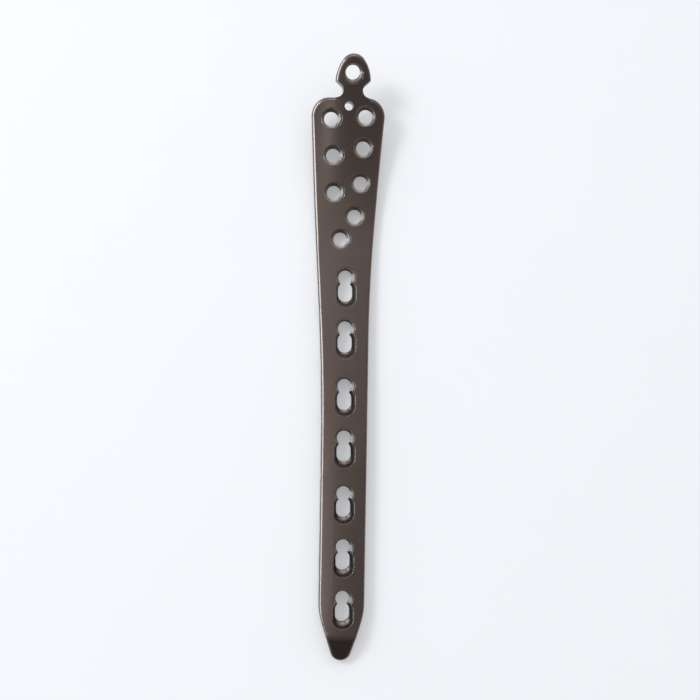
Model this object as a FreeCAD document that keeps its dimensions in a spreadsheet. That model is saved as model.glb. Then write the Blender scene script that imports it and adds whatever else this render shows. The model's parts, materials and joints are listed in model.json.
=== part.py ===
"""Locking compression plate for the lower tibia, one solid, lying bone side down.

X runs across the plate, Y along it towards the head, Z up. The origin is under the middle of the
plate, and the row of shaft holes lies on X = 0. Lengths are millimetres, angles degrees.
"""

import FreeCAD, Part
import os
from math import atan2, cos, degrees, radians, sin, tan

import Sketcher

V = FreeCAD.Vector

SIZES = (
    ("plate_length", 145.6, "tip to end of the tab, in plan"),
    ("tip_radius", 2.55, "nose of the tapered tip"),
    ("tip_shift", 0.3, "nose to the left of the hole line"),
    ("tip_blend_radius", 17.0, "from the tip's tapered side into the shaft"),
    ("shaft_low_left", 5.78, "left side of the shaft there"),
    ("shaft_low_right", 5.3, "right side of the shaft there"),
    ("shaft_high_left", 5.56, "left side where it starts to flare"),
    ("shaft_high_right", 5.74, "right side where it starts to flare"),
    ("flare_angle_left", 3.0, "left side of the head against the long axis"),
    ("flare_angle_right", 4.1, "right side of the head against the long axis"),
    ("head_half_width", 8.8, "widest point of the head"),
    ("shoulder_radius_left", 3.9, "corner of the head"),
    ("shoulder_radius_right", 4.2, "corner of the head"),
    ("tab_x", 0.8, "middle of the tab and its neck"),
    ("tab_half_width", 4.2, "half the tab across its corners"),
    ("dome_radius", 3.1, "top of the tab's dome"),
    ("notch_radius", 1.62, "round notch"),
    ("neck_half_width", 2.34, "half the neck between the notches"),
    ("notch_angle", 41.0, "slanted edge from the notch up to the tab's corner"),
    ("notch_slant_length", 3.6, "that edge, to a point outside the tab"),
    ("shaft_thickness", 3.6, "on the hole line"),
    ("head_thickness", 2.6, "on the hole line"),
    ("crown_radius", 26.0, "top face across the plate"),
    ("hollow_radius", 40.0, "bone side across the plate"),
    ("taper_blend_radius", 500.0, "top line there"),
    ("bend_radius", 98.0, "bone side of the bend"),
    ("bend_angle", 21.5, "slope of the tab"),
    ("facet_length", 5.9, "sloping end of the top face at the tip"),
    ("facet_angle", 19.0, "its slope"),
    ("facet_blend_radius", 4.0, "soft line between it and the top face"),
    ("sled_length", 7.0, "raised end of the bone side at the tip"),
    ("sled_angle", 8.0, "its slope"),
    ("sled_blend_radius", 15.0, "soft line between it and the bone side"),
    ("top_edge_radius", 0.8, "rounding of the top edge"),
    ("bottom_edge_bevel", 0.35, "bevel of the bone-side edge"),
    ("rim_radius", 2.5, "mouth of a locking hole, where its threaded cone starts"),
    ("bore_radius", 1.9, "lower end of the locking cone, and the bore below it"),
    ("cone_depth", 1.9, "from the top face to the end of the cone"),
    ("wire_hole_x", -0.07, "guide-wire hole"),
    ("wire_hole_radius", 1.03, "guide-wire hole"),
    ("slot_radius", 1.75, "through slot of a combination hole"),
    ("slot_near", 2.9, "from the locking centre to the slot's first arc"),
    ("slot_far", 4.2, "from the locking centre to the slot's last arc"),
    ("gliding_radius", 2.65, "ball that shapes the compression recess"),
    ("gliding_near", 2.9, "from the locking centre to the ball's first place"),
    ("gliding_far", 4.8, "from the locking centre to the ball's last place"),
    ("gliding_rise", 0.35, "ball's centre below the face at first, above it at last"),
    ("undercut_radius", 2.6, "round relief across the bone side, between two shaft holes"),
    ("undercut_depth", 0.7, "its depth on the hole line"),
    ("cutter_margin", 5.0, "how far cutting shapes reach past the plate"),
    ("cutter_height", 14.0, "how far they reach above or below a face"),
)

# Places along the plate, from its middle towards the tab, as shares of its length
STATIONS = (
    ("shaft_low", -0.40179, "lower end of the shaft's straight sides"),
    ("flare_start_left", -0.15110, "start of the flare, left"),
    ("flare_start_right", 0.03434, "start of the flare, right"),
    ("shoulder", 0.43338, "straight end of the head, beside the tab"),
    ("tab_side", 0.45742, "where the tab's dome begins"),
    ("notch", 0.44368, "centres of the two round notches"),
    ("taper_start", -0.18544, "where the plate starts to thin towards the head"),
    ("bend_start", 0.19918, "where the head starts to rise"),
    ("wire_hole", 0.41937, "guide-wire hole"),
)

# Locking holes of the head: name, X, station, and lean of the axis, its lower end towards the tab
HEAD_HOLES = (
    ("tab", 0.69, 0.46861, 21.5),
    ("outer_left", -4.12, 0.39918, 6.5),
    ("outer_right", 4.17, 0.40343, 6.5),
    ("middle_left", -3.41, 0.34107, 5.0),
    ("middle_right", 3.84, 0.35385, 5.0),
    ("inner_left", -3.05, 0.28111, 3.2),
    ("inner_right", 3.39, 0.29725, 3.2),
    ("lower_right", 2.05, 0.24238, 1.5),
    ("lower_left", -1.34, 0.20440, 0.0),
)

# Combination holes of the shaft, from the head to the tip: station of the locking half's centre
SHAFT_HOLES = (0.14080, 0.05570, -0.04045, -0.12672, -0.21957, -0.30845, -0.39457)

doc = FreeCAD.newDocument("bone_plate")
sheet = doc.addObject("Spreadsheet::Sheet", "Sizes")

rows = list(SIZES)
for name, share, note in STATIONS:
    rows.append((f"{name}_station", share, note))
for name, hole_x, share, lean in HEAD_HOLES:
    rows.append((f"{name}_hole_x", hole_x, "locking hole of the head"))
    rows.append((f"{name}_hole_station", share, "locking hole of the head"))
    rows.append((f"{name}_hole_lean", lean, "its axis, lower end towards the tab"))
for number, share in enumerate(SHAFT_HOLES, 1):
    rows.append((f"shaft_hole_{number}_station", share, "locking half of a combination hole"))
for row, (alias, number, note) in enumerate(rows, 1):
    sheet.set(f"A{row}", alias)
    sheet.set(f"B{row}", str(number))
    sheet.setAlias(f"B{row}", alias)
    sheet.set(f"C{row}", note)
doc.recompute()

body = doc.addObject("PartDesign::Body", "bone_plate")
body.Label = "bone_plate"

HALF_LENGTH = "Sizes.plate_length / 2"
PAST_TIP = f"-{HALF_LENGTH} - Sizes.cutter_margin"
PAST_TAB = f"{HALF_LENGTH} + Sizes.cutter_margin"
CUTTER_HALF_WIDTH = "(Sizes.head_half_width + Sizes.cutter_margin / 2)"


def station(name):
    """Expression for a place along the plate, in millimetres from its middle."""
    return f"(Sizes.{name}_station * Sizes.plate_length)"


SHAFT_PLACES = [station(f"shaft_hole_{number}") for number in range(1, len(SHAFT_HOLES) + 1)]
FLARE_STARTS = {hand: station(f"flare_start_{hand}") for hand in ("left", "right")}
SHAFT_LOW, SHOULDER, TAB_SIDE, NOTCH, TAPER_START, BEND_START, WIRE_HOLE = (
    station(name) for name in
    ("shaft_low", "shoulder", "tab_side", "notch", "taper_start", "bend_start", "wire_hole"))


def value(expression):
    """The number that an expression of sheet aliases has now."""
    return float(sheet.evalExpression(expression))


class Drawing:
    """A sketch on an origin plane of the body, with its dimensions bound to the sheet.

    On XY_Plane it is drawn in X and Y, on XZ_Plane in X and Z, on YZ_Plane in Y and Z.
    """

    START, END, CENTRE = 1, 2, 3
    ORIGIN = (-1, 1)

    def __init__(self, name, plane):
        self.sketch = body.newObject("Sketcher::SketchObject", name)
        support = next(f for f in body.Origin.OriginFeatures if f.Role == plane)
        self.sketch.AttachmentSupport = [(support, "")]
        self.sketch.MapMode = "FlatFace"

    def place(self, turn=None, **offsets):
        """Moves the drawing along x and y of its plane or z off it, and turns it in the plane."""
        if turn is not None:
            self.sketch.AttachmentOffset = FreeCAD.Placement(V(), FreeCAD.Rotation(V(0, 0, 1), 1))
            self.sketch.setExpression("AttachmentOffset.Rotation.Angle", turn)
        for axis, expression in offsets.items():
            self.sketch.setExpression(f"AttachmentOffset.Base.{axis}", expression)

    def line(self, start, end):
        return self.sketch.addGeometry(Part.LineSegment(V(*start), V(*end)))

    def circle(self, centre, radius):
        return self.sketch.addGeometry(Part.Circle(V(*centre), V(0, 0, 1), radius))

    def arc(self, centre, radius, first, last):
        """An arc that runs counter-clockwise from the angle first to the angle last."""
        circle = Part.Circle(V(*centre), V(0, 0, 1), radius)
        return self.sketch.addGeometry(Part.ArcOfCircle(circle, radians(first), radians(last)))

    def rule(self, kind, *terms):
        return self.sketch.addConstraint(Sketcher.Constraint(kind, *terms))

    def link(self, kind, first, second):
        """Joins two pieces at the ends that lie nearest to each other."""
        ends = [(a, b) for a in (self.START, self.END) for b in (self.START, self.END)]
        gap = lambda pair: self.sketch.getPoint(first, pair[0]).distanceToPoint(
            self.sketch.getPoint(second, pair[1]))
        a, b = min(ends, key=gap)
        self.rule(kind, first, a, second, b)

    def chain(self, kind, pieces):
        for first, second in zip(pieces, pieces[1:]):
            self.link(kind, first, second)

    def size(self, kind, terms, expression):
        number = value(expression)
        index = self.rule(kind, *terms, radians(number) if kind == "Angle" else number)
        self.sketch.setExpression(f"Constraints[{index}]", expression)

    def spot(self, piece, point, across=None, along=None):
        """Fixes a point's distance from the drawing's origin, across it, along it or both."""
        if across is not None:
            self.size("DistanceX", (*self.ORIGIN, piece, point), across)
        if along is not None:
            self.size("DistanceY", (*self.ORIGIN, piece, point), along)

    def radius(self, piece, expression):
        self.size("Radius", (piece,), expression)

    def angle(self, piece, expression):
        self.size("Angle", (piece,), expression)

    def polygon(self, corners):
        """A closed outline through corners, each a pair of expressions."""
        points = [(value(x), value(y), 0) for x, y in corners]
        sides = [self.line(a, b) for a, b in zip(points, points[1:] + points[:1])]
        for side, following in zip(sides, sides[1:] + sides[:1]):
            self.rule("Coincident", side, self.END, following, self.START)
        for side, (x, y) in zip(sides, corners):
            self.spot(side, self.START, x, y)


START, END, CENTRE = Drawing.START, Drawing.END, Drawing.CENTRE


def feature(kind, name, **properties):
    """A new feature of the body. Each one after the first has to take something away."""
    item = body.newObject(f"PartDesign::{kind}", name)
    for key, setting in properties.items():
        setattr(item, key, setting)
    doc.recompute()
    if item.Shape.isNull():
        raise RuntimeError(f"{name} has no shape")
    if item.BaseFeature:
        taken = item.BaseFeature.Shape.Volume - item.Shape.Volume
        if taken < 1e-3:
            raise RuntimeError(f"{name} took {taken} mm3 away")
    return item


def polar(angle, length=1.0):
    return V(length * cos(radians(angle)), length * sin(radians(angle)), 0)


def outline_side(drawing, side):
    """One long side of the outline, from the tip's nose to the top of the tab's dome.

    side is 1 for the right and -1 for the left. Each piece runs smoothly into the next.
    """
    hand = "right" if side > 0 else "left"
    sign = "" if side > 0 else "-"
    size = lambda alias: value(f"Sizes.{alias}")

    def mirrored(vector):
        return V(side * vector.x, vector.y, 0)

    def arc(centre, radius, first, last):
        """An arc given as if it were on the right side."""
        angles = (first, last) if side > 0 else (180 - last, 180 - first)
        return drawing.arc(centre, radius, *angles)

    # Starting places, which the rules below then make exact
    taper = 18.0
    nose = V(-size("tip_shift"), size("tip_radius") - value(HALF_LENGTH), 0)
    low = V(side * size(f"shaft_low_{hand}"), value(SHAFT_LOW), 0)
    blend = size("tip_blend_radius")
    blend_centre = low - mirrored(V(blend, 0, 0))
    high = V(side * size(f"shaft_high_{hand}"), value(FLARE_STARTS[hand]), 0)
    flare = size(f"flare_angle_{hand}")
    corner = size(f"shoulder_radius_{hand}")
    corner_centre = V(side * (size("head_half_width") - corner), value(SHOULDER) - corner, 0)
    flare_top = corner_centre + mirrored(polar(-flare, corner))
    meeting = V(high.x, flare_top.y - abs(flare_top.x - high.x) / tan(radians(flare)), 0)
    run = meeting.y - high.y
    flare_radius = run / tan(radians(flare / 2))
    tab_edge = size("tab_x") + side * size("tab_half_width")
    dome = size("dome_radius")
    dome_rise = value(HALF_LENGTH) - value(TAB_SIDE) - dome
    half_tab = size("tab_half_width")
    cheek = (half_tab**2 + dome_rise**2 - dome**2) / (2 * (half_tab - dome))
    cheek_angle = degrees(atan2(dome_rise, cheek - half_tab))

    tip_side = drawing.line(
        nose + mirrored(polar(-taper, size("tip_radius"))), blend_centre + mirrored(polar(-taper, blend)))
    tip_blend = arc(blend_centre, blend, -taper, 0)
    shaft_side = drawing.line(low, high)
    flare_arc = arc(high + mirrored(V(flare_radius, 0, 0)), flare_radius, 180 - flare, 180)
    flare_side = drawing.line(meeting + mirrored(polar(90 - flare, run)), flare_top)
    shoulder = arc(corner_centre, corner, -flare, 90)
    shoulder_line = drawing.line(
        (corner_centre.x, value(SHOULDER)), (tab_edge, value(SHOULDER)))
    tab_side = drawing.line((tab_edge, value(SHOULDER)), (tab_edge, value(TAB_SIDE)))
    dome_side = arc((tab_edge - side * cheek, value(TAB_SIDE)), cheek, 0, cheek_angle)

    plate_side = [tip_side, tip_blend, shaft_side, flare_arc, flare_side, shoulder, shoulder_line]
    drawing.chain("Tangent", plate_side)
    drawing.link("Coincident", shoulder_line, tab_side)
    drawing.link("Tangent", tab_side, dome_side)
    pieces = plate_side + [tab_side, dome_side]
    drawing.radius(tip_blend, "Sizes.tip_blend_radius")
    drawing.spot(shaft_side, START, f"{sign}Sizes.shaft_low_{hand}", SHAFT_LOW)
    drawing.spot(shaft_side, END, f"{sign}Sizes.shaft_high_{hand}", FLARE_STARTS[hand])
    drawing.angle(flare_side, f"90 - {side} * Sizes.flare_angle_{hand}")
    drawing.radius(shoulder, f"Sizes.shoulder_radius_{hand}")
    drawing.spot(shoulder, CENTRE, f"{sign}(Sizes.head_half_width - Sizes.shoulder_radius_{hand})")
    drawing.rule("Horizontal", shoulder_line)
    drawing.spot(shoulder_line, START, along=SHOULDER)
    drawing.rule("Vertical", tab_side)
    drawing.spot(tab_side, END, f"Sizes.tab_x + {side} * Sizes.tab_half_width", TAB_SIDE)
    return pieces


def draw_outline():
    """The plate seen from above, before the notches are cut beside the tab's neck."""
    drawing = Drawing("Outline", "XY_Plane")
    right = outline_side(drawing, 1)
    left = outline_side(drawing, -1)
    nose_y = value(f"Sizes.tip_radius - {HALF_LENGTH}")
    dome_y = value(f"{HALF_LENGTH} - Sizes.dome_radius")
    nose = drawing.arc((-value("Sizes.tip_shift"), nose_y), value("Sizes.tip_radius"), 198, 342)
    dome = drawing.arc((value("Sizes.tab_x"), dome_y), value("Sizes.dome_radius"), 45, 135)
    drawing.chain("Tangent", [left[0], nose, right[0]])
    drawing.chain("Tangent", [right[-1], dome, left[-1]])
    drawing.radius(nose, "Sizes.tip_radius")
    drawing.spot(nose, CENTRE, "-Sizes.tip_shift", f"Sizes.tip_radius - {HALF_LENGTH}")
    drawing.radius(dome, "Sizes.dome_radius")
    drawing.spot(dome, CENTRE, "Sizes.tab_x", f"{HALF_LENGTH} - Sizes.dome_radius")
    return drawing.sketch


def draw_tip_slope(drawing, name, height, side):
    """The slope over the tip and the soft corner after it: side is 1 on top and -1 below."""
    radius, angle = value(f"Sizes.{name}_blend_radius"), value(f"Sizes.{name}_angle")
    corner = value(f"Sizes.{name}_length - {HALF_LENGTH}")
    centre = V(corner + radius * tan(radians(angle / 2)), value(height) - side * radius, 0)
    run = f"(Sizes.{name}_length + Sizes.cutter_margin)"
    start = f"{height} - {side} * {run} * tan(Sizes.{name}_angle)"
    slope = drawing.line(
        (value(PAST_TIP), value(start)), centre + polar(side * (90 + angle), radius))
    first = 90 if side > 0 else 270 - angle
    blend = drawing.arc(centre, radius, first, first + angle)
    drawing.spot(slope, START, PAST_TIP, start)
    drawing.angle(slope, f"{side} * Sizes.{name}_angle")
    drawing.radius(blend, f"Sizes.{name}_blend_radius")
    return slope, blend, centre.x


def draw_bend(drawing, thickness, first):
    """The bend below the head from the angle first on, and the straight tab after it."""
    inner = f"Sizes.bend_radius - {thickness}"
    slope = value("Sizes.bend_angle")
    centre = V(value(BEND_START), value("Sizes.bend_radius"), 0)
    bend_end = centre + polar(slope - 90, value(inner))
    tab_run = (value(PAST_TAB) - bend_end.x) / cos(radians(slope))
    bend = drawing.arc(centre, value(inner), first, 270 + slope)
    tab = drawing.line(bend_end, bend_end + polar(slope, tab_run))
    drawing.spot(bend, CENTRE, BEND_START, "Sizes.bend_radius")
    drawing.radius(bend, inner)
    drawing.angle(tab, "Sizes.bend_angle")
    drawing.spot(tab, END, PAST_TAB)
    return bend, tab


def draw_bone_line():
    """Side view of the bone side: raised at the tip, flat, bent up, then straight to the tab."""
    drawing = Drawing("BoneLine", "YZ_Plane")
    sled, sled_blend, flat_start = draw_tip_slope(drawing, "sled", "0", -1)
    bend, tab = draw_bend(drawing, "0", 270)
    flat = drawing.line((flat_start, 0), (value(BEND_START), 0))
    drawing.chain("Tangent", [sled, sled_blend, flat, bend, tab])
    drawing.rule("Horizontal", flat)
    return drawing.sketch


def draw_top_line():
    """Side view of the top face: sloping tip, full thickness, thinning, then round the bend."""
    drawing = Drawing("TopLine", "YZ_Plane")
    height = value("Sizes.shaft_thickness")
    taper_start = value(TAPER_START)
    taper_run = value(f"{BEND_START} - {TAPER_START}")
    drop = degrees(atan2(value("Sizes.shaft_thickness - Sizes.head_thickness"), taper_run))
    blend = value("Sizes.taper_blend_radius")
    blend_centre = V(taper_start, height - blend, 0)
    bend_centre = V(value(BEND_START), value("Sizes.bend_radius"), 0)
    bend_start = bend_centre + polar(270 - drop, value("Sizes.bend_radius - Sizes.head_thickness"))
    facet, facet_blend, flat_start = draw_tip_slope(drawing, "facet", "Sizes.shaft_thickness", 1)
    flat = drawing.line((flat_start, height), (taper_start, height))
    taper_blend = drawing.arc(blend_centre, blend, 90 - drop, 90)
    taper = drawing.line(blend_centre + polar(90 - drop, blend), bend_start)
    bend, tab = draw_bend(drawing, "Sizes.head_thickness", 270 - drop)
    drawing.chain("Tangent", [facet, facet_blend, flat, taper_blend, taper, bend, tab])
    drawing.rule("Horizontal", flat)
    drawing.spot(flat, END, TAPER_START, "Sizes.shaft_thickness")
    drawing.radius(taper_blend, "Sizes.taper_blend_radius")
    return drawing.sketch


def draw_face_section(name, height, radius, side):
    """Cross section of what lies beyond a curved face: side is 1 above it and -1 below it."""
    drawing = Drawing(name, "XZ_Plane")
    drawing.place(z=f"-{TAPER_START}")
    top, bend = value(height), value(radius)
    half = value(CUTTER_HALF_WIDTH)
    reach = degrees(atan2(half, (bend**2 - half**2) ** 0.5))
    edge = top - bend + bend * cos(radians(reach))
    far = top + side * value("Sizes.cutter_height")
    face = drawing.arc((0, top - bend), bend, 90 - reach, 90 + reach)
    left_wall = drawing.line((-half, edge), (-half, far))
    outer = drawing.line((-half, far), (half, far))
    right_wall = drawing.line((half, far), (half, edge))
    drawing.chain("Coincident", [face, left_wall, outer, right_wall, face])
    drawing.spot(face, CENTRE, "0", f"{height} - {radius}")
    drawing.radius(face, radius)
    drawing.rule("Vertical", left_wall)
    drawing.rule("Vertical", right_wall)
    drawing.rule("Horizontal", outer)
    drawing.spot(outer, START, f"-{CUTTER_HALF_WIDTH}", f"{height} + {side} * Sizes.cutter_height")
    drawing.spot(outer, END, CUTTER_HALF_WIDTH)
    return drawing.sketch


def draw_notches():
    """The two round notches beside the tab's neck, each with a slanted upper edge."""
    drawing = Drawing("NotchOutline", "XY_Plane")
    radius, slant = value("Sizes.notch_radius"), value("Sizes.notch_angle")
    for side in (1, -1):
        middle_x = f"Sizes.tab_x + {side} * (Sizes.neck_half_width + Sizes.notch_radius)"
        centre = V(value(middle_x), value(NOTCH), 0)
        upper = centre + polar(90 + side * slant, radius)
        outer = upper + polar(90 - side * (90 - slant), value("Sizes.notch_slant_length"))
        angles = (90 + slant, 360) if side > 0 else (180, 450 - slant)
        notch = drawing.arc(centre, radius, *angles)
        slanted = drawing.line(upper, outer)
        closing = drawing.line(outer, centre + V(side * radius, 0, 0))
        drawing.link("Tangent", notch, slanted)
        drawing.chain("Coincident", [slanted, closing, notch])
        drawing.spot(notch, CENTRE, middle_x, NOTCH)
        drawing.radius(notch, "Sizes.notch_radius")
        drawing.rule("Horizontal", notch, CENTRE, closing, END)
        drawing.angle(slanted, f"90 - {side} * (90 - Sizes.notch_angle)")
        drawing.size("Distance", (slanted,), "Sizes.notch_slant_length")
    return drawing.sketch


def make_blank():
    """The bent, crowned and hollowed bar, cut to its outline."""
    blank = feature("Pad", "Blank", Profile=draw_outline(), SideType="Two sides")
    blank.setExpression("Length", "Sizes.cutter_height")
    blank.setExpression("Length2", "Sizes.cutter_margin")
    faces = (
        ("BoneSide", draw_bone_line, "0", "Sizes.hollow_radius", -1),
        ("TopFace", draw_top_line, "Sizes.shaft_thickness", "Sizes.crown_radius", 1),
    )
    for name, draw_line, height, radius, side in faces:
        path = draw_line()
        section = draw_face_section(f"{name}Section", height, radius, side)
        feature("SubtractivePipe", name, Profile=section, Spine=path,
                Mode="Binormal", Binormal=V(1, 0, 0))
    feature("Pocket", "Notches", Profile=draw_notches(), Type="ThroughAll", SideType="Symmetric")


def surface_height(x, y):
    """Expression for the height of the top face at a place given by two expressions."""
    inner = "(Sizes.bend_radius - Sizes.head_thickness)"
    past = f"max(0; {y} - {BEND_START})"
    run = f"min({past}; {inner} * sin(Sizes.bend_angle))"
    before = f"max(0; {BEND_START} - ({y}))"
    thick = f"min(1; {before} / ({BEND_START} - {TAPER_START}))"
    return (f"Sizes.bend_radius - sqrt({inner}^2 - {run}^2)"
            f" + ({past} - {run}) * tan(Sizes.bend_angle)"
            f" + (Sizes.shaft_thickness - Sizes.head_thickness) * {thick}"
            f" - Sizes.crown_radius + sqrt(Sizes.crown_radius^2 - ({x})^2)")


def revolve_cut(name, drawing, axis):
    feature("Groove", name, Profile=drawing.sketch, ReferenceAxis=(drawing.sketch, [axis]))


def cut_locking_hole(name, x, y, lean):
    """The cone that carries the thread, and a bore below it."""
    drawing = Drawing(f"{name}Profile", "YZ_Plane")
    drawing.place(x=y, y=surface_height(x, y), z=x, turn=lean)
    below = "-Sizes.cutter_height"
    slope = "(Sizes.rim_radius - Sizes.bore_radius) / Sizes.cone_depth"
    drawing.polygon([
        ("0", "Sizes.cutter_margin"),
        (f"Sizes.rim_radius + Sizes.cutter_margin * {slope}", "Sizes.cutter_margin"),
        ("Sizes.bore_radius", "-Sizes.cone_depth"), ("Sizes.bore_radius", below), ("0", below)])
    revolve_cut(name, drawing, "V_Axis")


def cut_recess(name, y):
    """The ramp of a combination hole, cut by a ball that rises as it moves towards the tip."""
    drawing = Drawing(f"{name}Profile", "YZ_Plane")
    travel = "(Sizes.gliding_far - Sizes.gliding_near)"
    drawing.place(x=f"{y} - Sizes.gliding_near",
                  y=f"{surface_height('0', y)} - Sizes.gliding_rise",
                  turn=f"180 deg - atan(2 * Sizes.gliding_rise / {travel})")
    length = f"sqrt({travel}^2 + 4 * Sizes.gliding_rise^2)"
    radius, run = value("Sizes.gliding_radius"), value(length)
    near = drawing.arc((0, 0), radius, 90, 180)
    ceiling = drawing.line((0, radius), (run, radius))
    far = drawing.arc((run, 0), radius, 0, 90)
    axis = drawing.line((run + radius, 0), (-radius, 0))
    drawing.chain("Tangent", [near, ceiling, far])
    drawing.chain("Coincident", [far, axis, near])
    drawing.spot(near, CENTRE, "0", "0")
    drawing.spot(far, CENTRE, length, "0")
    drawing.radius(near, "Sizes.gliding_radius")
    drawing.spot(axis, START, along="0")
    drawing.rule("Horizontal", axis)
    revolve_cut(name, drawing, "H_Axis")


def draw_slots():
    """The through slots of the combination holes, seen from above."""
    drawing = Drawing("SlotOutline", "XY_Plane")
    radius = value("Sizes.slot_radius")
    for hole in SHAFT_PLACES:
        first, last = f"{hole} - Sizes.slot_near", f"{hole} - Sizes.slot_far"
        upper = drawing.arc((0, value(first)), radius, 0, 180)
        left = drawing.line((-radius, value(first)), (-radius, value(last)))
        lower = drawing.arc((0, value(last)), radius, 180, 360)
        right = drawing.line((radius, value(last)), (radius, value(first)))
        drawing.chain("Tangent", [upper, left, lower, right, upper])
        drawing.spot(upper, CENTRE, "0", first)
        drawing.spot(lower, CENTRE, "0", last)
        drawing.radius(upper, "Sizes.slot_radius")
        drawing.rule("Equal", upper, lower)
    return drawing.sketch


def draw_undercuts():
    """Side view of the round reliefs across the bone side, midway between the shaft holes."""
    drawing = Drawing("UndercutProfile", "YZ_Plane")
    for upper, lower in zip(SHAFT_PLACES, SHAFT_PLACES[1:]):
        slot_end = f"{upper} - Sizes.slot_far - Sizes.slot_radius"
        station = f"({slot_end} + {lower} + Sizes.bore_radius) / 2"
        height = "Sizes.undercut_depth - Sizes.undercut_radius"
        circle = drawing.circle((value(station), value(height)), value("Sizes.undercut_radius"))
        drawing.radius(circle, "Sizes.undercut_radius")
        drawing.spot(circle, CENTRE, station, height)
    return drawing.sketch


def cut_holes():
    """The guide-wire hole, the head's locking holes and the shaft's combination holes."""
    drawing = Drawing("WireHoleOutline", "XY_Plane")
    wire = drawing.circle(
        (value("Sizes.wire_hole_x"), value(WIRE_HOLE)), value("Sizes.wire_hole_radius"))
    drawing.radius(wire, "Sizes.wire_hole_radius")
    drawing.spot(wire, CENTRE, "Sizes.wire_hole_x", WIRE_HOLE)
    for name, sketch in (("WireHole", drawing.sketch), ("Slots", draw_slots()),
                         ("Undercuts", draw_undercuts())):
        feature("Pocket", name, Profile=sketch, Type="ThroughAll", SideType="Symmetric")
    for name, *_ in HEAD_HOLES:
        hole = f"Sizes.{name}_hole"
        cut_locking_hole(f"{name}_hole", f"{hole}_x", station(f"{name}_hole"), f"{hole}_lean")
    for number, hole in enumerate(SHAFT_PLACES, 1):
        cut_locking_hole(f"shaft_hole_{number}", "0", hole, "0")
        cut_recess(f"recess_{number}", hole)


def middle(edge):
    return edge.valueAt((edge.FirstParameter + edge.LastParameter) / 2)


def end_rims(shape, upper):
    """Names of the two edges between the upright wall and a face, one at each end of the plate.

    The face is the top if upper is true, and the bone side if not.
    """
    names = []
    for number, edge in enumerate(shape.Edges, 1):
        point = middle(edge)
        at_end = abs(abs(point.y) - value(HALF_LENGTH)) < value("Sizes.bottom_edge_bevel")
        if not at_end:
            continue
        faces = shape.ancestorsOfType(edge, Part.Face)
        ups = [face.normalAt(*face.Surface.parameter(point)).z for face in faces]
        steepest, flattest = min(ups, key=abs), max(ups, key=abs)
        if abs(steepest) < 0.05 and abs(flattest) > 0.5 and (flattest > 0) == upper:
            names.append(f"Edge{number}")
    return names


def round_edges():
    """The rounding of the top edge and the bevel of the bone-side edge.

    Each runs on from an edge to those that follow smoothly, so it needs one edge a stretch: the
    notches part the plate's edge from the tab's.
    """
    for kind, name, upper, measure, size in (
            ("Fillet", "TopEdge", True, "Radius", "Sizes.top_edge_radius"),
            ("Chamfer", "BoneEdge", False, "Size", "Sizes.bottom_edge_bevel")):
        base = body.Tip
        dressing = body.newObject(f"PartDesign::{kind}", name)
        dressing.Base = (base, end_rims(base.Shape, upper))
        dressing.setExpression(measure, size)
        doc.recompute()


make_blank()
cut_holes()
round_edges()

# The plate rests on the ends of its hollow bone side, so it is lifted to stand on Z = 0
body.Placement.Base = V(0, 0, -body.Shape.optimalBoundingBox(False).ZMin)
doc.recompute()

for item in doc.Objects:
    if "Invalid" in item.State or "Error" in item.State:
        raise RuntimeError(f"{item.Name} is {item.State}")
if body.Shape.isNull() or not body.Shape.isValid() or len(body.Shape.Solids) != 1:
    raise RuntimeError("the plate isn't one valid solid")

os.makedirs("parts", exist_ok=True)
body.Shape.exportStep(f"parts/{body.Label}.step")
print(f"volume {body.Shape.Volume:.1f} mm3, box {body.Shape.optimalBoundingBox(False)}")
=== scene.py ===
"""Finish, threads and studio stage of a locking plate for the lower tibia.

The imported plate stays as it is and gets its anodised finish. The thread ridges in its locking holes
are modelled here. Lengths are metres in Blender and millimetres in the names that say so.
"""

import json
import math

import bpy
from mathutils import Matrix, Vector


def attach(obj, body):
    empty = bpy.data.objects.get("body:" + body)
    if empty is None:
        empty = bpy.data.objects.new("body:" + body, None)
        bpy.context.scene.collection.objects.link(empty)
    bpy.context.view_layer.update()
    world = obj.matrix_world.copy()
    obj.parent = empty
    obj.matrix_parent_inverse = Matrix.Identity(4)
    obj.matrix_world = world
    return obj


bl_info = {
    "name": "Bone Plate",
    "version": (1, 0, 0),
    "blender": (4, 5, 0),
    "location": "3D View > Sidebar > Bone Plate",
    "description": "Anodised finish, hole threads and studio stage of a locking bone plate",
    "category": "Object",
}

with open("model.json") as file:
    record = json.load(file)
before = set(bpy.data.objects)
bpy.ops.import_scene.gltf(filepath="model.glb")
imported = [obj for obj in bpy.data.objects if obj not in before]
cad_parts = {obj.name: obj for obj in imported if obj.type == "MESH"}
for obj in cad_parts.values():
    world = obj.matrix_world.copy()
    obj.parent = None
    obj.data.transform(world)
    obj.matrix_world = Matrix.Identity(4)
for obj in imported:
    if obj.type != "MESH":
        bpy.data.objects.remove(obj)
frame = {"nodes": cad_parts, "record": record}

MM = 0.001
PLATE = "bone_plate"
GUIDE_WIRE_HOLE = "guide_wire_hole"

SPARE_TURNS = 2
SCREW_GAP, BISECT_GAP, MERGE_GAP = 1e-6, 1e-8, 1e-7
SMOOTH_ANGLE = math.radians(35)

COLOUR_SOCKETS, COLOUR_RESULT = (6, 7), 2
PIT_DETAIL, CLOUD_DETAIL, NOISE_ROUGHNESS = 3.0, 2.0, 0.55
BEVEL_SAMPLES = 8
PAPER_ROUGHNESS, FIBRE_SCALE, FIBRE_CONTRAST = 0.95, 40.0, 0.005

ROOM_COLOUR = (0.985, 0.99, 1.0, 1)
DIM_PART = (-0.75, -0.55)
HORIZON_BAND = (0.08, 0.35)
SENSOR_WIDTH = 36.0
NEAR_CLIP = 0.01


# Sizes and colours


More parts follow.
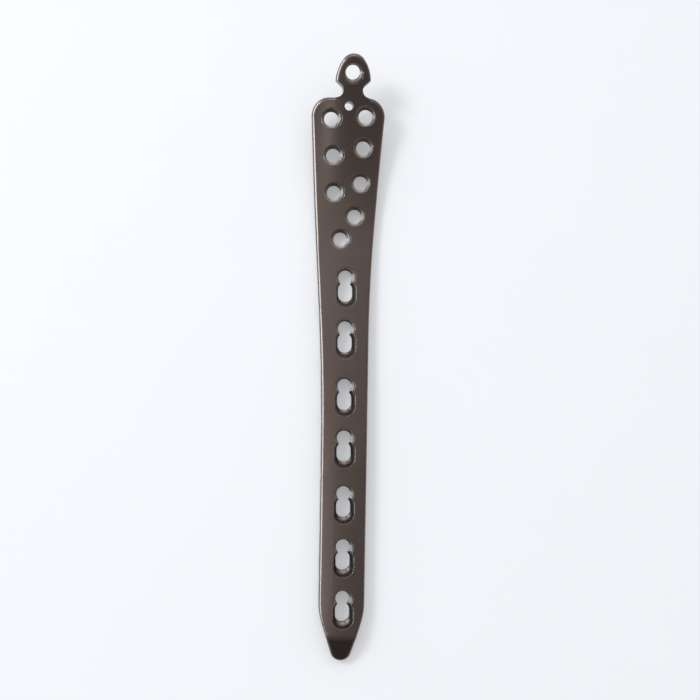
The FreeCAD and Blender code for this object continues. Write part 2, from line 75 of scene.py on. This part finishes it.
class ThreadSizes(bpy.types.PropertyGroup):
    pitch: bpy.props.FloatProperty(
        name="Pitch", description="Rise of the thread in one turn",
        default=0.5 * MM, unit="LENGTH")
    height: bpy.props.FloatProperty(
        name="Ridge height", description="How far a ridge stands out of the cone",
        default=0.24 * MM, unit="LENGTH")
    crest: bpy.props.FloatProperty(
        name="Crest width", description="Width of the flat on top of a ridge",
        default=0.05 * MM, unit="LENGTH")
    foot: bpy.props.FloatProperty(
        name="Foot width", description="Width of a ridge where it leaves the cone",
        default=0.42 * MM, unit="LENGTH")
    rooted: bpy.props.FloatProperty(
        name="Rooting", description="How deep a ridge reaches into the wall",
        default=0.03 * MM, unit="LENGTH")
    cone_radius: bpy.props.FloatProperty(
        name="Cone radius", description="Mouth of a locking hole, where its cone starts",
        default=2.5 * MM, unit="LENGTH")
    head_start: bpy.props.FloatProperty(
        name="Head start", description="From the mouth to the thread in a hole of the head",
        default=0.42 * MM, unit="LENGTH")
    shaft_start: bpy.props.FloatProperty(
        name="Shaft start", description="From the mouth to the thread in a combination hole",
        default=0.3 * MM, unit="LENGTH")
    ball_radius: bpy.props.FloatProperty(
        name="Recess ball", description="Ball that shapes the compression recess",
        default=2.65 * MM, unit="LENGTH")
    ball_depth: bpy.props.FloatProperty(
        name="Recess ball depth", description="Centre of that ball below the top face",
        default=0.35 * MM, unit="LENGTH")
    cone_depth: bpy.props.FloatProperty(
        name="Cone depth", description="From the top face to the end of the cone",
        default=1.9 * MM, unit="LENGTH")
    slot_radius: bpy.props.FloatProperty(
        name="Slot radius", description="Through slot of a combination hole",
        default=1.75 * MM, unit="LENGTH")
    slot_offset: bpy.props.FloatProperty(
        name="Slot offset", description="From the threaded half to the slot's first arc",
        default=2.9 * MM, unit="LENGTH")
    steps: bpy.props.IntProperty(
        name="Steps", description="Faces in one turn of the thread", default=64, min=24)


class FinishValues(bpy.types.PropertyGroup):
    titanium: bpy.props.FloatVectorProperty(
        name="Titanium", description="Colour of the anodised face",
        default=(0.132, 0.102, 0.090), size=3, min=0, max=1, subtype="COLOR")
    # Lighter colour along the edges: partly oxide worn thin by tumbling, partly a painted highlight
    # on the hole rims and side edges.
    edge_wear_and_highlight: bpy.props.FloatVectorProperty(
        name="Worn and highlit edges", description="Colour of the anodised edges, thinned by tumbling",
        default=(0.36, 0.32, 0.29), size=3, min=0, max=1, subtype="COLOR")
    roughness: bpy.props.FloatProperty(
        name="Roughness", description="Roughness of the blasted face",
        default=0.28, min=0, max=1, subtype="FACTOR")
    thread_titanium: bpy.props.FloatVectorProperty(
        name="Cut titanium", description="Colour of the thread, where the oxide film is thin",
        default=(0.18, 0.152, 0.137), size=3, min=0, max=1, subtype="COLOR")
    thread_roughness: bpy.props.FloatProperty(
        name="Thread roughness", description="Roughness of the cut thread",
        default=0.24, min=0, max=1, subtype="FACTOR")
    roughness_spread: bpy.props.FloatProperty(
        name="Roughness spread", description="How much the pits change the roughness",
        default=0.06, min=0, max=0.2)
    grain_size: bpy.props.FloatProperty(
        name="Grain size", description="Width of the pits of the blasted face",
        default=0.16 * MM, unit="LENGTH")
    pit_depth: bpy.props.FloatProperty(
        name="Pit depth", description="Depth of those pits", default=0.01 * MM, unit="LENGTH")
    pit_strength: bpy.props.FloatProperty(
        name="Pit strength", description="How strongly the pits show", default=0.25, min=0, max=1,
        subtype="FACTOR")
    cloud_size: bpy.props.FloatProperty(
        name="Cloud size", description="Width of the soft clouds in the oxide film",
        default=6 * MM, unit="LENGTH")
    cloud_contrast: bpy.props.FloatProperty(
        name="Cloud contrast", description="How much the clouds change the colour",
        default=0.1, min=0, max=1)
    edge_radius: bpy.props.FloatProperty(
        name="Edge radius", description="Rounding of the edges by tumbling",
        default=0.1 * MM, unit="LENGTH")
    # How soon an edge takes the lighter colour of wear and painted highlight.
    edge_contrast: bpy.props.FloatProperty(
        name="Edge contrast", description="How soon an edge counts as worn", default=3.0, min=0)


class StageValues(bpy.types.PropertyGroup):
    floor: bpy.props.FloatVectorProperty(
        name="Floor", description="Colour of the paper under the plate",
        default=(0.91, 0.928, 0.96), size=3, min=0, max=1, subtype="COLOR")
    floor_width: bpy.props.FloatProperty(
        name="Floor width", description="Side of the square floor", default=12.0, unit="LENGTH")
    camera_place: bpy.props.FloatVectorProperty(
        name="Camera", description="Where the camera stands",
        default=(-23.6 * MM, 2.86 * MM, 318.16 * MM), size=3, subtype="TRANSLATION")
    camera_tilt: bpy.props.FloatProperty(
        name="Camera tilt", description="Lean of the view towards the plate's right side",
        default=math.radians(4.5), subtype="ANGLE")
    camera_roll: bpy.props.FloatProperty(
        name="Camera roll", description="Turn of the camera about its view",
        default=math.radians(0.58), subtype="ANGLE")
    lens: bpy.props.FloatProperty(
        name="Lens", description="Focal length in millimetres on a 36 mm sensor", default=66.94)
    key_direction: bpy.props.FloatVectorProperty(
        name="Key light", description="Direction from the plate to the key light",
        default=(-0.62, 0.40, 0.68), size=3, subtype="DIRECTION")
    light_distance: bpy.props.FloatProperty(
        name="Light distance", description="From the plate to the key, strip and back lights",
        default=0.8, unit="LENGTH")
    key_width: bpy.props.FloatProperty(
        name="Key width", description="Side of the key light's softbox",
        default=0.2, unit="LENGTH")
    key_power: bpy.props.FloatProperty(
        name="Key power", description="Power of the key light", default=2.35, unit="POWER")
    strip_direction: bpy.props.FloatVectorProperty(
        name="Strip light", description="Direction from the plate to the strip light on its left",
        default=(-0.94, 0.06, 0.325), size=3, subtype="DIRECTION")
    strip_height: bpy.props.FloatProperty(
        name="Strip height", description="Height of the strip light", default=0.46, unit="LENGTH")
    strip_length: bpy.props.FloatProperty(
        name="Strip length", description="Length of the strip light, along the plate",
        default=0.9, unit="LENGTH")
    strip_power: bpy.props.FloatProperty(
        name="Strip power", description="Power of the strip light", default=11.5, unit="POWER")
    strip_colour: bpy.props.FloatVectorProperty(
        name="Strip colour", description="Cool colour of the strip light",
        default=(0.78, 0.92, 1.0), size=3, min=0, max=1, subtype="COLOR")
    back_direction: bpy.props.FloatVectorProperty(
        name="Back light", description="Direction from the plate to the light beyond its head",
        default=(0.0, 0.77, 0.64), size=3, subtype="DIRECTION")
    back_width: bpy.props.FloatProperty(
        name="Back width", description="Width of the back light", default=0.5, unit="LENGTH")
    back_height: bpy.props.FloatProperty(
        name="Back height", description="Height of the back light", default=0.18, unit="LENGTH")
    back_power: bpy.props.FloatProperty(
        name="Back power", description="Power of the back light", default=0.75, unit="POWER")
    card_direction: bpy.props.FloatVectorProperty(
        name="Card", description="Direction from the plate to the card that brightens its shaft",
        default=(-0.33, -0.32, 0.89), size=3, subtype="DIRECTION")
    card_distance: bpy.props.FloatProperty(
        name="Card distance", description="From the plate to the card", default=0.45,
        unit="LENGTH")
    card_width: bpy.props.FloatProperty(
        name="Card width", description="Width of the card", default=0.1, unit="LENGTH")
    card_length: bpy.props.FloatProperty(
        name="Card length", description="Length of the card, along the plate", default=0.2,
        unit="LENGTH")
    card_power: bpy.props.FloatProperty(
        name="Card power", description="Power that the card throws back", default=0.072,
        unit="POWER")
    paper_glow: bpy.props.FloatProperty(
        name="Paper glow", description="How much of the paper's brightness shadows leave alone",
        default=0.28, min=0, max=1, subtype="FACTOR")
    sky_level: bpy.props.FloatProperty(
        name="Overhead level", description="Strength of the room's light from straight above",
        default=0.70, min=0)
    sky_across: bpy.props.FloatProperty(
        name="Level across", description="How much the room darkens towards the right",
        default=-0.24)
    sky_along: bpy.props.FloatProperty(
        name="Level along", description="How much the room brightens beyond the head",
        default=1.15)
    sky_least: bpy.props.FloatProperty(
        name="Least level", description="Strength of the dim part of the room before the tip",
        default=0.34, min=0)
    sky_low: bpy.props.FloatProperty(
        name="Low level", description="Strength of the room low down before the tip",
        default=0.1, min=0)
    horizon_level: bpy.props.FloatProperty(
        name="Horizon level", description="Strength of the room near the floor, as it is seen",
        default=0.88, min=0)
    horizon_light: bpy.props.FloatProperty(
        name="Horizon light", description="Strength of the light that comes from there",
        default=0.7, min=0)


class PlateSettings(bpy.types.PropertyGroup):
    thread: bpy.props.PointerProperty(type=ThreadSizes)
    finish: bpy.props.PointerProperty(type=FinishValues)
    stage: bpy.props.PointerProperty(type=StageValues)


# Modelling by hand


def settle():
    """Object mode, with nothing selected."""
    if bpy.context.object and bpy.context.object.mode != "OBJECT":
        bpy.ops.object.mode_set(mode="OBJECT")
    bpy.ops.object.select_all(action="DESELECT")


def pick(thing):
    settle()
    thing.select_set(True)
    bpy.context.view_layer.objects.active = thing


def apply_modifier(thing, kind, **settings):
    pick(thing)
    modifier = thing.modifiers.new(kind.title(), kind)
    for key, setting in settings.items():
        setattr(modifier, key, setting)
    bpy.ops.object.modifier_apply(modifier=modifier.name)


def select_vertices(thing, wanted):
    """In edit mode, selects the vertices whose place passes the test."""
    bpy.ops.mesh.select_all(action="DESELECT")
    bpy.ops.mesh.select_mode(type="VERT")
    bpy.ops.object.mode_set(mode="OBJECT")
    for vertex in thing.data.vertices:
        vertex.select = wanted(vertex.co)
    bpy.ops.object.mode_set(mode="EDIT")


def close_and_turn_out(thing):
    """Merges doubles and turns all faces outwards."""
    pick(thing)
    bpy.ops.object.mode_set(mode="EDIT")
    bpy.ops.mesh.select_all(action="SELECT")
    bpy.ops.mesh.remove_doubles(threshold=MERGE_GAP)
    bpy.ops.mesh.normals_make_consistent(inside=False)
    settle()


# Thread


def model_thread_ring(name, sizes, bore_radius, length):
    """The ridges of one threaded cone, standing on the XY plane round the Z axis."""
    turns = math.ceil(length / sizes.pitch) + SPARE_TURNS
    middle = bore_radius + (sizes.rooted - sizes.height) / 2
    width = sizes.height + sizes.rooted
    settle()
    bpy.ops.mesh.primitive_plane_add(
        size=width, location=(middle, 0, -sizes.pitch), rotation=(math.pi / 2, 0, 0))
    ring = bpy.context.object
    ring.name = ring.data.name = name
    bpy.ops.object.transform_apply()
    bpy.ops.object.mode_set(mode="EDIT")
    foot_centre, crest_centre = (Vector((middle + side * width / 2, 0, -sizes.pitch))
                                 for side in (1, -1))
    for centre, target, chosen in (
            (foot_centre, sizes.foot, lambda co: co.x > middle),
            (crest_centre, sizes.crest, lambda co: co.x < middle)):
        select_vertices(ring, chosen)
        bpy.ops.transform.resize(value=(1, 1, target / width), center_override=centre)
    bpy.ops.mesh.select_all(action="SELECT")
    bpy.ops.mesh.delete(type="ONLY_FACE")
    settle()
    apply_modifier(ring, "SCREW", axis="Z", angle=2 * math.pi, iterations=turns,
                   screw_offset=sizes.pitch, steps=sizes.steps, render_steps=sizes.steps,
                   use_merge_vertices=True, merge_threshold=SCREW_GAP)
    bpy.ops.object.mode_set(mode="EDIT")
    for height, end in ((0, {"clear_inner": True}), (length, {"clear_outer": True})):
        bpy.ops.mesh.select_all(action="SELECT")
        bpy.ops.mesh.bisect(plane_co=(0, 0, height), plane_no=(0, 0, 1), use_fill=True,
                            threshold=BISECT_GAP, **end)
    settle()
    apply_modifier(ring, "SIMPLE_DEFORM", deform_method="TAPER", deform_axis="Z",
                   factor=(sizes.cone_radius / bore_radius - 1) * length / sizes.cone_depth)
    close_and_turn_out(ring)
    return ring


def cut_ring_open(ring, sizes):
    """Takes away the part of a ring that the recess and the slot of a combination hole leave."""
    ball_height = sizes.cone_depth - sizes.ball_depth
    settle()
    bpy.ops.mesh.primitive_uv_sphere_add(
        segments=sizes.steps, ring_count=sizes.steps // 2, radius=sizes.ball_radius,
        location=(0, -sizes.slot_offset, ball_height))
    ball = bpy.context.object
    settle()
    bpy.ops.mesh.primitive_cylinder_add(
        vertices=sizes.steps, radius=sizes.slot_radius, depth=4 * sizes.cone_depth,
        location=(0, -sizes.slot_offset, 0))
    slot = bpy.context.object
    for cutter in (ball, slot):
        apply_modifier(ring, "BOOLEAN", operation="DIFFERENCE", solver="EXACT", object=cutter)
    for cutter in (ball, slot):
        pick(cutter)
        bpy.ops.object.delete()
    close_and_turn_out(ring)


def copy_ring(ring, mount):
    """A copy of a ring with its own mesh, on the lower end of the cone above a bore."""
    axis = Vector(mount["axis"])
    foot = Vector(mount["pos_m"]) + axis * mount["dims"]["length_mm"] * MM / 2
    pick(ring)
    bpy.ops.object.duplicate(linked=False)
    copy = bpy.context.object
    copy.name = copy.data.name = mount["name"].replace("bore", "thread")
    copy.rotation_euler = Vector((0, 0, 1)).rotation_difference(axis).to_euler()
    copy.location = foot
    bpy.ops.object.transform_apply()
    return copy


def dress_thread(thing, material):
    pick(thing)
    bpy.ops.object.shade_smooth_by_angle(angle=SMOOTH_ANGLE)
    thing.data.materials.clear()
    thing.data.materials.append(material)
    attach(thing, "root")


def threaded_mounts(shaft):
    """Mounts of the bores below a thread, in the shaft or in the head."""
    return [mount for mount in frame["record"]["mounts"]
            if mount["name"] != GUIDE_WIRE_HOLE and mount["name"].startswith("shaft") == shaft]


def make_threads(settings, shaft):
    sizes = settings.thread
    mounts = threaded_mounts(shaft)
    if not mounts:
        raise RuntimeError("the record names no threaded bores here")
    bore_radius = mounts[0]["dims"]["r_mm"] * MM
    length = sizes.cone_depth - (sizes.shaft_start if shaft else sizes.head_start)
    ring = model_thread_ring("thread_ring", sizes, bore_radius, length)
    if shaft:
        cut_ring_open(ring, sizes)
    finish = settings.finish
    material = titanium_material("anodised_titanium_thread", finish, finish.thread_titanium,
                                 finish.thread_roughness)
    for mount in mounts:
        dress_thread(copy_ring(ring, mount), material)
    pick(ring)
    bpy.ops.object.delete()


# Materials


def new_group(name, inputs, outputs):
    """An empty shader node group with named sockets, and its two end nodes."""
    group = bpy.data.node_groups.new(name, "ShaderNodeTree")
    for title, kind, default in inputs:
        socket = group.interface.new_socket(title, in_out="INPUT", socket_type=kind)
        if default is not None:
            socket.default_value = default
    for title, kind in outputs:
        group.interface.new_socket(title, in_out="OUTPUT", socket_type=kind)
    start = group.nodes.new("NodeGroupInput")
    end = group.nodes.new("NodeGroupOutput")
    return group, start, end


def math_node(tree, operation, first, second=None):
    node = tree.nodes.new("ShaderNodeMath")
    node.operation = operation
    for socket, term in zip(node.inputs, (first, second)):
        if isinstance(term, bpy.types.NodeSocket):
            tree.links.new(term, socket)
        elif term is not None:
            socket.default_value = term
    return node.outputs[0]


def blasted_grain_group():
    """Fine pitting of a blasted and anodised face, and soft clouds in its film.

    Place is the object's own coordinates.
    """
    if "blasted_grain" in bpy.data.node_groups:
        return bpy.data.node_groups["blasted_grain"]
    group, start, end = new_group(
        "blasted_grain",
        [("Place", "NodeSocketVector", None), ("Grain Size", "NodeSocketFloat", 0.16 * MM),
         ("Cloud Size", "NodeSocketFloat", 6 * MM)],
        [("Pits", "NodeSocketFloat"), ("Clouds", "NodeSocketFloat")])
    for size, output, detail in (("Grain Size", "Pits", PIT_DETAIL),
                                 ("Cloud Size", "Clouds", CLOUD_DETAIL)):
        noise = group.nodes.new("ShaderNodeTexNoise")
        noise.inputs["Detail"].default_value = detail
        noise.inputs["Roughness"].default_value = NOISE_ROUGHNESS
        group.links.new(start.outputs["Place"], noise.inputs["Vector"])
        group.links.new(math_node(group, "DIVIDE", 1.0, start.outputs[size]),
                        noise.inputs["Scale"])
        group.links.new(noise.outputs["Fac"], end.inputs[output])
    return group


def worn_and_highlit_edge_group():
    """Mask of the edges that get a lighter colour, partly tumbling wear and partly a painted
    highlight, and the normal that rounds them.
    """
    if "worn_and_highlit_edge" in bpy.data.node_groups:
        return bpy.data.node_groups["worn_and_highlit_edge"]
    group, start, end = new_group(
        "worn_and_highlit_edge",
        [("Radius", "NodeSocketFloat", 0.1 * MM), ("Contrast", "NodeSocketFloat", 3.0)],
        [("Mask", "NodeSocketFloat"), ("Normal", "NodeSocketVector")])
    bevel = group.nodes.new("ShaderNodeBevel")
    bevel.samples = BEVEL_SAMPLES
    group.links.new(start.outputs["Radius"], bevel.inputs["Radius"])
    face = group.nodes.new("ShaderNodeNewGeometry")
    dot = group.nodes.new("ShaderNodeVectorMath")
    dot.operation = "DOT_PRODUCT"
    group.links.new(bevel.outputs["Normal"], dot.inputs[0])
    group.links.new(face.outputs["Normal"], dot.inputs[1])
    turned = math_node(group, "SUBTRACT", 1.0, dot.outputs["Value"])
    strong = math_node(group, "MULTIPLY", turned, start.outputs["Contrast"])
    group.links.new(math_node(group, "MINIMUM", strong, 1.0), end.inputs["Mask"])
    group.links.new(bevel.outputs["Normal"], end.inputs["Normal"])
    return group


def mix_colours(tree, factor, first, second):
    node = tree.nodes.new("ShaderNodeMix")
    node.data_type = "RGBA"
    tree.links.new(factor, node.inputs["Factor"])
    for index, colour in zip(COLOUR_SOCKETS, (first, second)):
        socket = node.inputs[index]
        if isinstance(colour, bpy.types.NodeSocket):
            tree.links.new(colour, socket)
        else:
            socket.default_value = (*colour, 1)
    return node.outputs[COLOUR_RESULT]


def titanium_material(name, finish, titanium, roughness):
    """Blasted titanium with a dark warm oxide film, lighter along its edges, partly as tumbling wear
    and partly as a painted highlight.
    """
    if name in bpy.data.materials:
        return bpy.data.materials[name]
    material = bpy.data.materials.new(name)
    material.use_nodes = True
    tree = material.node_tree
    shader = tree.nodes["Principled BSDF"]
    shader.inputs["Metallic"].default_value = 1.0
    place = tree.nodes.new("ShaderNodeTexCoord")
    grain = tree.nodes.new("ShaderNodeGroup")
    grain.node_tree = blasted_grain_group()
    tree.links.new(place.outputs["Object"], grain.inputs["Place"])
    grain.inputs["Grain Size"].default_value = finish.grain_size
    grain.inputs["Cloud Size"].default_value = finish.cloud_size
    edge = tree.nodes.new("ShaderNodeGroup")
    edge.node_tree = worn_and_highlit_edge_group()
    edge.inputs["Radius"].default_value = finish.edge_radius
    edge.inputs["Contrast"].default_value = finish.edge_contrast
    face_colour = mix_colours(
        tree, grain.outputs["Clouds"],
        [(1 - finish.cloud_contrast) * part for part in titanium],
        [(1 + finish.cloud_contrast) * part for part in titanium])
    # Painted highlight and wear: the edges are mixed towards the lighter edge colour.
    colour = mix_colours(tree, edge.outputs["Mask"], face_colour, finish.edge_wear_and_highlight)
    tree.links.new(colour, shader.inputs["Base Color"])
    spread = tree.nodes.new("ShaderNodeMapRange")
    spread.inputs["To Min"].default_value = roughness - finish.roughness_spread
    spread.inputs["To Max"].default_value = roughness + finish.roughness_spread
    tree.links.new(grain.outputs["Pits"], spread.inputs["Value"])
    tree.links.new(spread.outputs["Result"], shader.inputs["Roughness"])
    bump = tree.nodes.new("ShaderNodeBump")
    bump.inputs["Strength"].default_value = finish.pit_strength
    bump.inputs["Distance"].default_value = finish.pit_depth
    tree.links.new(grain.outputs["Pits"], bump.inputs["Height"])
    tree.links.new(edge.outputs["Normal"], bump.inputs["Normal"])
    tree.links.new(bump.outputs["Normal"], shader.inputs["Normal"])
    return material


def seen_rays(tree):
    """1 for what the camera sees, directly, in the metal or through glass, and 0 for light."""
    path = tree.nodes.new("ShaderNodeLightPath")
    seen = math_node(tree, "MAXIMUM", path.outputs["Is Camera Ray"], path.outputs["Is Glossy Ray"])
    return math_node(tree, "MAXIMUM", seen, path.outputs["Is Transmission Ray"])


def paper_material(colour, glow):
    """Pale paper. Seen directly or in the metal, part of its brightness is its own."""
    material = bpy.data.materials.new("matt_paper")
    material.use_nodes = True
    tree = material.node_tree
    shader = tree.nodes["Principled BSDF"]
    shader.inputs["Roughness"].default_value = PAPER_ROUGHNESS
    shader.inputs["Specular IOR Level"].default_value = 0.0
    place = tree.nodes.new("ShaderNodeTexCoord")
    fibre = tree.nodes.new("ShaderNodeTexNoise")
    fibre.inputs["Scale"].default_value = FIBRE_SCALE
    tree.links.new(place.outputs["Object"], fibre.inputs["Vector"])
    tint = mix_colours(tree, fibre.outputs["Fac"], [(1 - FIBRE_CONTRAST) * part for part in colour],
                       [(1 + FIBRE_CONTRAST) * part for part in colour])
    tree.links.new(tint, shader.inputs["Base Color"])
    own = tree.nodes.new("ShaderNodeEmission")
    tree.links.new(tint, own.inputs["Color"])
    blend = tree.nodes.new("ShaderNodeMixShader")
    tree.links.new(math_node(tree, "MULTIPLY", seen_rays(tree), glow), blend.inputs["Fac"])
    tree.links.new(shader.outputs[0], blend.inputs[1])
    tree.links.new(own.outputs[0], blend.inputs[2])
    tree.links.new(blend.outputs[0], tree.nodes["Material Output"].inputs["Surface"])
    return material


# Stage


def rise(tree, value, low, high, first, last):
    """A smooth change of a value from first at low to last at high."""
    node = tree.nodes.new("ShaderNodeMapRange")
    node.interpolation_type = "SMOOTHSTEP"
    tree.links.new(value, node.inputs["Value"])
    for name, setting in (("From Min", low), ("From Max", high), ("To Min", first),
                          ("To Max", last)):
        if isinstance(setting, bpy.types.NodeSocket):
            tree.links.new(setting, node.inputs[name])
        else:
            node.inputs[name].default_value = setting
    return node.outputs["Result"]


def light_room(stage):
    """Soft light from all sides, brightest beyond the head and over the left side."""
    world = bpy.context.scene.world or bpy.data.worlds.new("room")
    bpy.context.scene.world = world
    world.use_nodes = True
    tree = world.node_tree
    tree.nodes.clear()
    place = tree.nodes.new("ShaderNodeTexCoord")
    split = tree.nodes.new("ShaderNodeSeparateXYZ")
    tree.links.new(place.outputs["Generated"], split.inputs[0])
    across = math_node(tree, "MULTIPLY", split.outputs["X"], stage.sky_across)
    along = math_node(tree, "MULTIPLY", split.outputs["Y"], stage.sky_along)
    slope = math_node(tree, "ADD", across, along)
    least = rise(tree, split.outputs["Y"], *DIM_PART, stage.sky_low, stage.sky_least)
    sky = math_node(tree, "MAXIMUM", math_node(tree, "ADD", slope, stage.sky_level), least)
    horizon = rise(tree, seen_rays(tree), 0, 1, stage.horizon_light, stage.horizon_level)
    background = tree.nodes.new("ShaderNodeBackground")
    background.inputs["Color"].default_value = ROOM_COLOUR
    tree.links.new(rise(tree, split.outputs["Z"], *HORIZON_BAND, horizon, sky),
                   background.inputs["Strength"])
    output = tree.nodes.new("ShaderNodeOutputWorld")
    tree.links.new(background.outputs[0], output.inputs["Surface"])


def hang_light(name, direction, distance, power, width, length, metal=True, colour=(1, 1, 1)):
    """A soft light that faces the plate. It is seen in the metal only, or lights the paper only."""
    direction = Vector(direction).normalized()
    across = Vector((0, 1, 0)).cross(direction).normalized()
    turn = Matrix((across, direction.cross(across), direction)).transposed()
    settle()
    bpy.ops.object.light_add(
        type="AREA", location=direction * distance, rotation=turn.to_euler())
    lamp = bpy.context.object
    lamp.visible_camera = False
    lamp.visible_glossy = metal
    lamp.visible_diffuse = not metal
    lamp.name = lamp.data.name = name
    lamp.data.shape = "RECTANGLE"
    lamp.data.size = width
    lamp.data.size_y = length
    lamp.data.energy = power
    lamp.data.color = colour


def lay_floor(stage):
    settle()
    bpy.ops.mesh.primitive_plane_add(size=stage.floor_width, location=(0, 0, 0))
    floor = bpy.context.object
    floor.name = floor.data.name = "paper_floor"
    floor.data.materials.append(paper_material(stage.floor, stage.paper_glow))


def set_camera(stage):
    turn = (Matrix.Rotation(-stage.camera_tilt, 3, "Y") @ Matrix.Rotation(stage.camera_roll, 3, "Z"))
    settle()
    bpy.ops.object.camera_add(location=stage.camera_place, rotation=turn.to_euler())
    camera = bpy.context.object
    camera.data.sensor_width = SENSOR_WIDTH
    camera.data.lens = stage.lens
    camera.data.clip_start = NEAR_CLIP
    bpy.context.scene.camera = camera
    bpy.context.scene.view_settings.view_transform = "Standard"


# Operators and panel


class PLATE_OT_finish(bpy.types.Operator):
    """Give the plate its blasted and anodised titanium finish"""
    bl_idname = "plate.finish"
    bl_label = "Finish Plate"

    def execute(self, context):
        finish = context.scene.bone_plate.finish
        material = titanium_material("anodised_titanium_face", finish, finish.titanium,
                                     finish.roughness)
        plate = frame["nodes"][PLATE]
        for slot in plate.material_slots:
            slot.material = material
        return {"FINISHED"}


class PLATE_OT_head_threads(bpy.types.Operator):
    """Cut the threads of the locking holes in the head and the tab"""
    bl_idname = "plate.head_threads"
    bl_label = "Head Threads"

    def execute(self, context):
        make_threads(context.scene.bone_plate, shaft=False)
        return {"FINISHED"}


class PLATE_OT_shaft_threads(bpy.types.Operator):
    """Cut the part threads of the combination holes in the shaft"""
    bl_idname = "plate.shaft_threads"
    bl_label = "Shaft Threads"

    def execute(self, context):
        make_threads(context.scene.bone_plate, shaft=True)
        return {"FINISHED"}


class PLATE_OT_stage(bpy.types.Operator):
    """Lay the pale floor, light the room and set the camera over the plate"""
    bl_idname = "plate.stage"
    bl_label = "Studio Stage"

    def execute(self, context):
        stage = context.scene.bone_plate.stage
        light_room(stage)
        hang_light("key_light", stage.key_direction, stage.light_distance, stage.key_power,
                   stage.key_width, stage.key_width, metal=False)
        hang_light("strip_light", stage.strip_direction, stage.light_distance, stage.strip_power,
                   stage.strip_height, stage.strip_length, colour=stage.strip_colour)
        hang_light("back_light", stage.back_direction, stage.light_distance, stage.back_power,
                   stage.back_width, stage.back_height)
        hang_light("card", stage.card_direction, stage.card_distance, stage.card_power,
                   stage.card_width, stage.card_length)
        lay_floor(stage)
        set_camera(stage)
        return {"FINISHED"}


class PLATE_PT_sidebar(bpy.types.Panel):
    bl_idname = "PLATE_PT_sidebar"
    bl_label = "Bone Plate"
    bl_space_type = "VIEW_3D"
    bl_region_type = "UI"
    bl_category = "Bone Plate"

    def draw(self, context):
        settings = context.scene.bone_plate
        for title, group, operators in (
                ("Finish", settings.finish, (PLATE_OT_finish,)),
                ("Threads", settings.thread, (PLATE_OT_head_threads, PLATE_OT_shaft_threads)),
                ("Stage", settings.stage, (PLATE_OT_stage,))):
            box = self.layout.box()
            box.label(text=title)
            for key in group.__annotations__:
                box.prop(group, key)
            for operator in operators:
                box.operator(operator.bl_idname)


CLASSES = (ThreadSizes, FinishValues, StageValues, PlateSettings, PLATE_OT_finish,
           PLATE_OT_head_threads, PLATE_OT_shaft_threads, PLATE_OT_stage, PLATE_PT_sidebar)


def register():
    for item in CLASSES:
        bpy.utils.register_class(item)
    bpy.types.Scene.bone_plate = bpy.props.PointerProperty(type=PlateSettings)


def unregister():
    del bpy.types.Scene.bone_plate
    for item in reversed(CLASSES):
        bpy.utils.unregister_class(item)


def main():
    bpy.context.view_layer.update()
    register()
    bpy.ops.plate.finish()
    bpy.ops.plate.head_threads()
    bpy.ops.plate.shaft_threads()
    bpy.ops.plate.stage()


if __name__ == "__main__":
    main()
